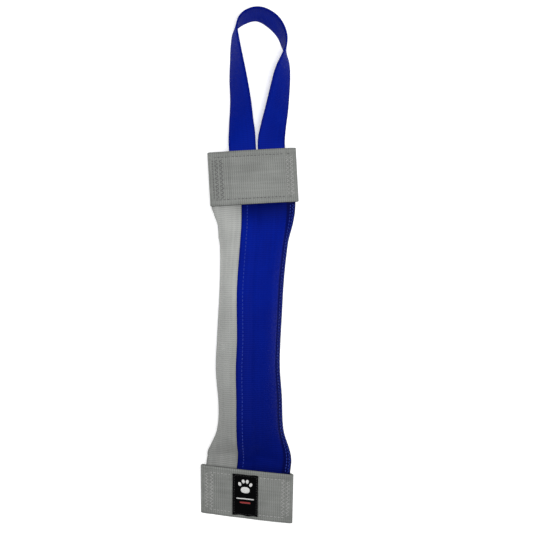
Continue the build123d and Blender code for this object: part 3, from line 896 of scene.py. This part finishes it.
def make_handle(material):
    path = handle_path()
    centre, across, normal = strap_frames(path)
    places = np.linspace(-STRAP_WIDTH / 2, STRAP_WIDTH / 2, 21)
    cup = 0.35 * (places / (STRAP_WIDTH / 2)) ** 2
    middle = (centre[:, None] + across[:, None] * places[None, :, None]
              - normal[:, None] * cup[None, :, None])
    half = STRAP_THICKNESS / 2 * (1 - 0.25 * np.abs(places / (STRAP_WIDTH / 2)) ** 6)
    outer = middle + normal[:, None] * half[None, :, None]
    inner = middle - normal[:, None] * half[None, :, None]
    step = np.linalg.norm(np.diff(centre, axis=0), axis=1)
    along = np.concatenate([[0], np.cumsum(step)])
    piece = webbing_mesh("strap_loop", handle_place(outer), handle_place(inner),
                         (places - places[0]) * MM, along * MM, edge=0.3)
    finish_piece(piece, material, None, "blue_strap", "handle_loop", "handle_tail_left",
                 "handle_tail_right")
    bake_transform(piece)


# ---- thread ----
def stitch_tree():
    """Geometry nodes that sew one row of stitches along a path, straight or zigzag."""
    tree = bpy.data.node_groups.new("stitch_row", "GeometryNodeTree")
    face = tree.interface
    face.new_socket("Path", in_out="INPUT", socket_type="NodeSocketGeometry")
    sizes = (("Pitch", 3.6 * MM), ("Zigzag width", 0.0), ("Thread width", 0.7 * MM),
             ("Thread height", 0.5 * MM), ("Stitch share", 0.72))
    for label, value in sizes:
        socket = face.new_socket(label, in_out="INPUT", socket_type="NodeSocketFloat")
        socket.default_value = value
    face.new_socket("Seed", in_out="INPUT", socket_type="NodeSocketInt")
    face.new_socket("Thread", in_out="INPUT", socket_type="NodeSocketMaterial")
    face.new_socket("Stitches", in_out="OUTPUT", socket_type="NodeSocketGeometry")
    nodes, links = tree.nodes, tree.links
    given = nodes.new("NodeGroupInput").outputs
    out = nodes.new("NodeGroupOutput")

    def add(kind, **settings):
        node = nodes.new(kind)
        for key, value in settings.items():
            setattr(node, key, value)
        return node

    def arithmetic(kind, operation, *values):
        node = add(kind, operation=operation)
        for socket, value in zip(node.inputs, values):
            if isinstance(value, bpy.types.NodeSocket):
                links.new(value, socket)
            else:
                socket.default_value = value
        return node.outputs[0]

    def scaled(vector, factor):
        node = add("ShaderNodeVectorMath", operation="SCALE")
        links.new(vector, node.inputs[0])
        links.new(factor, node.inputs["Scale"])
        return node.outputs[0]

    curve = add("GeometryNodeMeshToCurve")
    links.new(given["Path"], curve.inputs["Mesh"])
    even = add("GeometryNodeResampleCurve")
    even.mode = "LENGTH"
    links.new(curve.outputs[0], even.inputs["Curve"])
    links.new(given["Pitch"], even.inputs["Length"])

    upward = add("GeometryNodeInputNamedAttribute", data_type="FLOAT_VECTOR")
    upward.inputs["Name"].default_value = "up"
    tangent = add("GeometryNodeInputTangent")
    sideways = arithmetic("ShaderNodeVectorMath", "CROSS_PRODUCT", tangent.outputs[0], upward.outputs[0])
    index = add("GeometryNodeInputIndex")
    parity = arithmetic("ShaderNodeMath", "MODULO", index.outputs[0], 2.0)
    swing = arithmetic("ShaderNodeMath", "SUBTRACT", parity, 0.5)
    swing = arithmetic("ShaderNodeMath", "MULTIPLY", swing, given["Zigzag width"])
    shift = add("GeometryNodeSetPosition")
    links.new(even.outputs[0], shift.inputs["Geometry"])
    links.new(scaled(sideways, swing), shift.inputs["Offset"])

    line = add("GeometryNodeCurveToMesh")
    links.new(shift.outputs[0], line.inputs["Curve"])
    corners = add("GeometryNodeInputMeshEdgeVertices")
    way = arithmetic("ShaderNodeVectorMath", "SUBTRACT", corners.outputs["Position 2"],
                     corners.outputs["Position 1"])
    keep = add("GeometryNodeCaptureAttribute", domain="EDGE")
    keep.capture_items.new("VECTOR", "way")
    keep.capture_items.new("VECTOR", "up")
    links.new(line.outputs[0], keep.inputs["Geometry"])
    links.new(way, keep.inputs[1])
    links.new(upward.outputs[0], keep.inputs[2])
    dots = add("GeometryNodeMeshToPoints", mode="EDGES")
    links.new(keep.outputs["Geometry"], dots.inputs["Mesh"])

    turn = add("FunctionNodeAlignRotationToVector", axis="X")
    links.new(keep.outputs[1], turn.inputs["Vector"])
    lay = add("FunctionNodeAlignRotationToVector", axis="Z", pivot_axis="X")
    links.new(turn.outputs[0], lay.inputs["Rotation"])
    links.new(keep.outputs[2], lay.inputs["Vector"])

    length = add("ShaderNodeVectorMath", operation="LENGTH")
    links.new(keep.outputs[1], length.inputs[0])
    uneven = add("FunctionNodeRandomValue", data_type="FLOAT")
    uneven.inputs[2].default_value = 0.9
    uneven.inputs[3].default_value = 1.1
    links.new(given["Seed"], uneven.inputs["Seed"])
    long_side = arithmetic("ShaderNodeMath", "MULTIPLY", length.outputs["Value"], given["Stitch share"])
    long_side = arithmetic("ShaderNodeMath", "MULTIPLY", long_side, uneven.outputs[1])
    size = add("ShaderNodeCombineXYZ")
    links.new(long_side, size.inputs[0])
    links.new(given["Thread width"], size.inputs[1])
    links.new(given["Thread height"], size.inputs[2])

    stitch = add("GeometryNodeMeshUVSphere")
    stitch.inputs["Segments"].default_value = 8
    stitch.inputs["Rings"].default_value = 6
    stitch.inputs["Radius"].default_value = 0.5
    lengthways = add("GeometryNodeTransform")
    lengthways.inputs["Rotation"].default_value = (0, math.pi / 2, 0)
    links.new(stitch.outputs["Mesh"], lengthways.inputs["Geometry"])
    place = add("GeometryNodeInstanceOnPoints")
    links.new(dots.outputs[0], place.inputs["Points"])
    links.new(lengthways.outputs[0], place.inputs["Instance"])
    links.new(lay.outputs[0], place.inputs["Rotation"])
    links.new(size.outputs[0], place.inputs["Scale"])
    real = add("GeometryNodeRealizeInstances")
    links.new(place.outputs[0], real.inputs[0])
    paint = add("GeometryNodeSetMaterial")
    links.new(real.outputs[0], paint.inputs["Geometry"])
    links.new(given["Thread"], paint.inputs["Material"])
    links.new(paint.outputs[0], out.inputs[0])
    return tree


def sew(name, tree, rows, material, slot, node, pitch, zigzag=0.0, width=0.75, height=0.5, share=0.72,
        seed=1):
    """One piece of thread work. rows is a list of (points, normals), in metres."""
    verts, ups, edges = [], [], []
    for points, normals in rows:
        first = len(verts)
        verts += [tuple(p) for p in points]
        ups += [tuple(u) for u in normals]
        edges += [(first + i, first + i + 1) for i in range(len(points) - 1)]
    mesh = bpy.data.meshes.new(name)
    mesh.from_pydata(verts, edges, [])
    attribute = mesh.attributes.new("up", "FLOAT_VECTOR", "POINT")
    attribute.data.foreach_set("vector", np.array(ups, np.float32).ravel())
    obj = bpy.data.objects.new(name, mesh)
    bpy.context.scene.collection.objects.link(obj)
    modifier = obj.modifiers.new("sewing", "NODES")
    modifier.node_group = tree
    values = {"Pitch": pitch * MM, "Zigzag width": zigzag * MM, "Thread width": width * MM,
              "Thread height": height * MM, "Stitch share": share, "Seed": seed, "Thread": material}
    for item in tree.interface.items_tree:
        if item.item_type == "SOCKET" and item.in_out == "INPUT" and item.name in values:
            modifier[item.identifier] = values[item.name]
    apply_modifiers(obj)
    finish_piece(obj, material, "bumper", slot, *([node] if node else []))
    return obj


def body_path(place, side, height, tree=None):
    """A row of stitches along the body at one distance from the ridge."""
    reach = MOUTH_Y - 1.5
    y = np.arange(-reach, reach + 0.01, 2.0)
    around = place + np.array([-2.4, -1.2, 0.0, 1.2, 2.4])
    points, normals = strip_surface(y, around, side, height, tree)
    return lie(points[:, 2] + normals[:, 2] * ON_CLOTH), normals[:, 2]


def band_path(end, front, out, sign, start=None, stop=None):
    """A row of stitches across a band. sign is 1 on its front and -1 on its back."""
    start = BAND_LEFT + ROW_MARGIN if start is None else start
    stop = BAND_RIGHT - ROW_MARGIN if stop is None else stop
    xs = np.arange(start, stop + 0.01, STITCH_PATH_STEP)
    points = [(x, end * (MOUTH_Y + out), front(x, out) + sign * ON_CLOTH) for x in xs]
    return on_band(points, sign)


def band_column(end, front, x, sign):
    """A row of stitches along the body's direction, between a band's two long rows."""
    outs = np.arange(BAND_ROW + 1.0, BAND_WIDTH - BAND_ROW - 0.9, STITCH_PATH_STEP)
    points = [(x, end * (MOUTH_Y + out), front(x, out) + sign * ON_CLOTH) for out in outs]
    return on_band(points, sign)


def on_band(points, sign):
    """Places in the row frame, and the way up from the band, for a list of design points."""
    p = np.array(points, float)
    lifted = p + np.array([0.0, 0.0, sign * 1.0])
    low, high = lie(p), lie(lifted)
    return low, unit(high - low)


def sew_body(materials, tree, bulge_tree):
    """The rows that join the four strips, and the fin's two rows."""
    pale, blue = materials["pale_thread"], materials["blue_thread"]
    lap, side_lap = SEAM_PLACE - LAP_ROW, SIDE_EDGE_PLACE - LAP_ROW
    rows = (("front_lap", lap, 1, blue, "blue_thread", 2), ("back_lap", lap, -1, pale, "pale_thread", 3),
            ("side_lap", side_lap, 1, pale, "pale_thread", 4))
    for word, place, side, thread, slot, seed in rows:
        path = body_path(place, side, 2 * PLY - 0.2, bulge_tree)
        sew(word + "_stitches", tree, [path], thread, slot, word + "_thread", STITCH_PITCH, seed=seed)
    fin_rows = [body_path(-FIN_ROW, 1, PLY), body_path(-FIN_ROW, -1, PLY)]
    sew("fin_seam_stitches", tree, fin_rows, blue, "blue_thread", "fin_seam_thread", 3.0, width=0.8,
        seed=5)
    edge_rows = [body_path(-FIN_EDGE_ROW, 1, PLY - 0.1)]
    sew("fin_edge_zigzag", tree, edge_rows, blue, "blue_thread", None, 1.7, zigzag=2.6, width=0.55,
        share=1.0, seed=6)


def sew_band(name, tree, end, front, back, spare, row_thread, pale):
    """A band's two long rows, which stop beside the label, and its two zigzags, on both its faces."""
    before, after = LABEL_X - LABEL_WIDTH / 2 - 0.6, LABEL_X + LABEL_WIDTH / 2 + 0.6
    for out, word in ((BAND_WIDTH - BAND_ROW, "outer"), (BAND_ROW, "inner")):
        if end > 0:
            rows = [band_path(end, front, out, 1)]
        else:
            rows = [band_path(end, front, out, 1, stop=before),
                    band_path(end, front, out, 1, start=after)]
        rows.append(band_path(end, back, out, -1))
        sew(name + "_" + word + "_stitches", tree, rows, row_thread, "pale_thread",
            name + "_" + word + "_thread", 3.4, seed=7)
    left, right = BAND_LEFT + 7.0 + end - spare[0], BAND_RIGHT - ROW_MARGIN + spare[1]
    sides = ((left, "left", ZIGZAG_GAP, row_thread), (right, "right", -ZIGZAG_GAP, pale))
    for x, word, gap, thread in sides:
        rows = [band_column(end, front, x + k * gap, 1) for k in (0, 1)]
        rows += [band_column(end, back, x + k * gap, -1) for k in (0, 1)]
        sew(name + "_" + word + "_zigzag_stitches", tree, rows, thread, "pale_thread",
            name + "_" + word + "_zigzag", 1.9, zigzag=3.4, width=0.6, share=1.04, seed=8)


def make_thread(materials, tree, bulge_tree):
    pale, shaded = materials["pale_thread"], materials["shaded_thread"]
    sew_body(materials, tree, bulge_tree)
    # the top band's rows, left zigzag and fold row use the pale thread painted dark as shade
    sew_band("top_band", tree, 1, top_front, top_back, TOP_SPARE, shaded, pale)
    sew_band("bottom_band", tree, -1, bottom_front, bottom_back, BOTTOM_SPARE, pale, pale)
    fold_rows = [band_column(1, top_front, BAND_LEFT + FOLD_ROW, 1)]
    sew("top_band_fold_stitches", tree, fold_rows, shaded, "pale_thread", None, 2.4, share=0.8, seed=10)
    sew("label_stitches", tree, label_rows(), materials["black_thread"], "black_thread", "label_thread",
        2.6, width=0.6, height=0.4, seed=9)


# ---- label ----
def label_height(x, out):
    edge = abs(out - BAND_WIDTH / 2) / (LABEL_LENGTH / 2)
    return bottom_front(x, out) + 0.75 + 0.3 * edge ** 6 * math.sin(x / 2.6)


def label_point(x, out, lift=0.0):
    return (x, -(MOUTH_Y + out), label_height(x, out) + lift)


def make_label(material):
    xs = np.linspace(LABEL_X - LABEL_WIDTH / 2, LABEL_X + LABEL_WIDTH / 2, 26)
    outs = np.linspace((BAND_WIDTH - LABEL_LENGTH) / 2, (BAND_WIDTH + LABEL_LENGTH) / 2, 42)
    wave = 0.25 * np.sin(xs / 2.1)
    grid = np.array([[label_point(x, o + w * (abs(o - BAND_WIDTH / 2) > LABEL_LENGTH / 2 - 0.6))
                      for x, w in zip(xs, wave)] for o in outs])
    inner = grid - np.array([0.0, 0.0, 0.7])
    piece = webbing_mesh("woven_label_tab", lie(grid), lie(inner), (xs - xs[0]) * MM,
                         (outs - outs[0]) * MM, edge=0.15)
    finish_piece(piece, material, "bumper", "label", "woven_label")


def label_rows():
    """The stitches round the label, side by side."""
    half_x = LABEL_WIDTH / 2 - LABEL_ROW
    low = (BAND_WIDTH - LABEL_LENGTH) / 2 + LABEL_ROW
    high = (BAND_WIDTH + LABEL_LENGTH) / 2 - LABEL_ROW
    rows = []
    for out in (low, high):
        xs = np.arange(LABEL_X - half_x, LABEL_X + half_x + 0.01, 1.0)
        rows.append(on_band([label_point(x, out, ON_CLOTH) for x in xs], 1))
    for x in (LABEL_X - half_x, LABEL_X + half_x):
        outs = np.arange(low, high + 0.01, 1.0)
        rows.append(on_band([label_point(x, out, ON_CLOTH) for out in outs], 1))
    return rows


def patch(x, out, half_x, half_y, turn=0.0, power=2.0):
    """One raised patch of embroidery: a domed disc in rings, as (points, faces). A higher power makes it
    squarer."""
    count = 28
    points, faces = [label_point(x, out, 0.34)], []
    rings = ((0.55, 0.32), (0.9, 0.24), (1.0, 0.02))        # share of its size, and lift
    for share, lift in rings:
        for i in range(count):
            t = 2 * math.pi * i / count
            c, s = math.cos(t), math.sin(t)
            px = half_x * share * math.copysign(abs(c) ** (2 / power), c)
            py = half_y * share * math.copysign(abs(s) ** (2 / power), s)
            dx = px * math.cos(turn) - py * math.sin(turn)
            dy = px * math.sin(turn) + py * math.cos(turn)
            points.append(label_point(x + dx, out + dy, lift))
    for i in range(count):
        nxt = (i + 1) % count
        faces.append((0, 1 + i, 1 + nxt))
        for ring in range(len(rings) - 1):
            a, b = 1 + ring * count, 1 + (ring + 1) * count
            faces.append((a + i, b + i, b + nxt, a + nxt))
    base = len(points)
    points += [tuple(np.array(points[1 + 2 * count + i]) - np.array([0, 0, 0.3])) for i in range(count)]
    for i in range(count):
        nxt = (i + 1) % count
        faces.append((1 + 2 * count + i, base + i, base + nxt, 1 + 2 * count + nxt))
    faces.append(tuple(base + i for i in range(count)))
    return points, faces


def embroidery(name, patches, material):
    points, faces = [], []
    for p, f in patches:
        first = len(points)
        points += p
        faces += [tuple(first + i for i in face) for face in f]
    piece = make_piece(name, lie(np.array(points)), faces)
    finish_piece(piece, material, "bumper", "pale_thread")


def make_emblem(materials):
    """A plain paw with a line and a short bar under it."""
    white, red = materials["white_thread"], materials["red_thread"]
    x, out = LABEL_X, 16.0
    toes = ((-5.3, -2.4, -0.35), (-1.9, -5.6, -0.12), (1.9, -5.6, 0.12), (5.3, -2.4, 0.35))
    paw = [patch(x, out + 3.6, 4.3, 3.3, power=2.4)]
    paw += [patch(x + dx, out + dy, 1.45, 2.1, turn) for dx, dy, turn in toes]
    embroidery("label_paw", paw, white)
    embroidery("label_line", [patch(x, out + 13.0, 8.6, 0.55, power=6.0)], white)
    embroidery("label_bar", [patch(x, out + 17.2, 5.2, 0.9, power=6.0)], red)


# ---- floor, light and camera ----
def make_stage():
    half, z = 3.0, -0.0004          # just below the table's height, so that the two don't touch
    corners = [(-half, -half, z), (half, -half, z), (half, half, z), (-half, half, z)]
    floor = make_piece("floor", corners, [(0, 1, 2, 3)])
    material, shader = new_material("pale floor")
    shader.inputs["Base Color"].default_value = (0.86, 0.86, 0.86, 1)
    shader.inputs["Emission Color"].default_value = (1, 1, 1, 1)
    shader.inputs["Emission Strength"].default_value = 0.38
    shader.inputs["Roughness"].default_value = 0.9
    shader.inputs["Specular IOR Level"].default_value = 0.1
    floor.data.materials.append(material)


def area_light(name, place, target, size, power):
    data = bpy.data.lights.new(name, "AREA")
    data.shape = "DISK"
    data.size = size
    data.energy = power
    obj = bpy.data.objects.new(name, data)
    obj.location = place
    obj.rotation_euler = (Vector(target) - Vector(place)).to_track_quat("-Z", "Y").to_euler()
    bpy.context.scene.collection.objects.link(obj)


def make_light():
    world = bpy.data.worlds.new("studio")
    world.use_nodes = True
    nodes, links = world.node_tree.nodes, world.node_tree.links
    background = nodes["Background"]
    background.inputs[0].default_value = (1, 1, 1, 1)
    seen = nodes.new("ShaderNodeLightPath").outputs["Is Camera Ray"]
    strength = nodes.new("ShaderNodeMapRange")          # a pale backdrop that lights the room less
    strength.inputs["To Min"].default_value = 0.3
    strength.inputs["To Max"].default_value = 0.9
    links.new(seen, strength.inputs["Value"])
    links.new(strength.outputs["Result"], background.inputs[1])
    bpy.context.scene.world = world
    middle = (0.01, 0.05, 0.02)
    area_light("head", (0.1, 0.06, 0.95), middle, 0.4, 6.9)
    area_light("right", (0.6, 0.3, 0.7), middle, 0.3, 1.6)
    area_light("left", (-0.65, 0.15, 0.5), middle, 0.25, 1.3)


CAMERA_HEIGHT = 1.0
VIEW_WIDTH = 0.5190             # of the table, across the view
VIEW_CENTRE = (0.0197, 0.0673)


def make_camera():
    data = bpy.data.cameras.new("camera")
    data.sensor_width = 36.0
    data.lens = data.sensor_width * CAMERA_HEIGHT / VIEW_WIDTH
    data.clip_start = 0.05
    data.clip_end = 20.0
    camera = bpy.data.objects.new("camera", data)
    camera.location = (*VIEW_CENTRE, CAMERA_HEIGHT)
    bpy.context.scene.collection.objects.link(camera)
    bpy.context.scene.camera = camera


def make_materials():
    blue = dict(light=(0.0002, 0.011, 0.255), dark=(0.0002, 0.0035, 0.13), sheen=0.03, specular=0.03)
    strap = dict(light=(0.0003, 0.012, 0.25), dark=(0.0002, 0.004, 0.14), sheen=0.03, specular=0.03)
    grey = dict(light=(0.45, 0.46, 0.445), dark=(0.2, 0.205, 0.198), sheen=0.05, specular=0.2)
    band = dict(light=(0.285, 0.295, 0.282), dark=(0.09, 0.094, 0.089), sheen=0.04, specular=0.15)
    wide = dict(width=WEBBING_WIDTH, column=1.3)
    body_blue = dict(rib=2.0, roughness=0.55, edge_shading=-0.25, depth=0.28, mouth_shade=0.62, fade=0.5, **wide,
                     **blue)
    return {
        # the front blue strip, with painted shade along its fin
        "fin_shaded_blue": webbing_material("blue webbing with painted fin shade", fin_shade_width=SEAM_ALLOWANCE, **body_blue),
        "blue": webbing_material("blue webbing", **body_blue),
        "grey": webbing_material("grey webbing", rib=2.0, roughness=0.6, edge_shading=0.15, depth=0.28,
                                 mouth_shade=0.16, fade=0.4, **wide, **grey),
        "band": webbing_material("grey band webbing", rib=2.05, roughness=0.62, edge_shading=-0.1, depth=0.32,
                                 **wide, **band),
        "strap": webbing_material("blue strap webbing", width=STRAP_WIDTH, rib=1.7, column=1.1,
                                  roughness=0.55, edge_shading=-0.35, depth=0.22, **strap),
        "foam": foam_material("foam"),
        "label": label_material("label"),
        "pale_thread": thread_material("pale thread", (0.42, 0.42, 0.41)),
        # the pale thread painted dark, standing in for the shade in its needle holes on the top band
        "shaded_thread": thread_material("grey thread painted as shade", (0.10, 0.10, 0.10)),
        "blue_thread": thread_material("blue thread", (0.004, 0.028, 0.33)),
        "black_thread": thread_material("black thread", (0.006, 0.006, 0.007)),
        "white_thread": thread_material("white thread", (0.75, 0.75, 0.74)),
        "red_thread": thread_material("red thread", (0.3, 0.03, 0.03)),
    }


bpy.context.scene.view_settings.view_transform = "Standard"
make_stage()
make_light()
make_camera()
materials = make_materials()
bulge_tree = make_body(materials)
end_band("top_band", 1, top_front, top_back, TOP_SPARE, materials["band"], "top_end_band")
end_band("bottom_band", -1, bottom_front, bottom_back, BOTTOM_SPARE, materials["band"],
         "bottom_end_band")
make_handle(materials["strap"])
make_label(materials["label"])
make_emblem(materials)
make_thread(materials, stitch_tree(), bulge_tree)
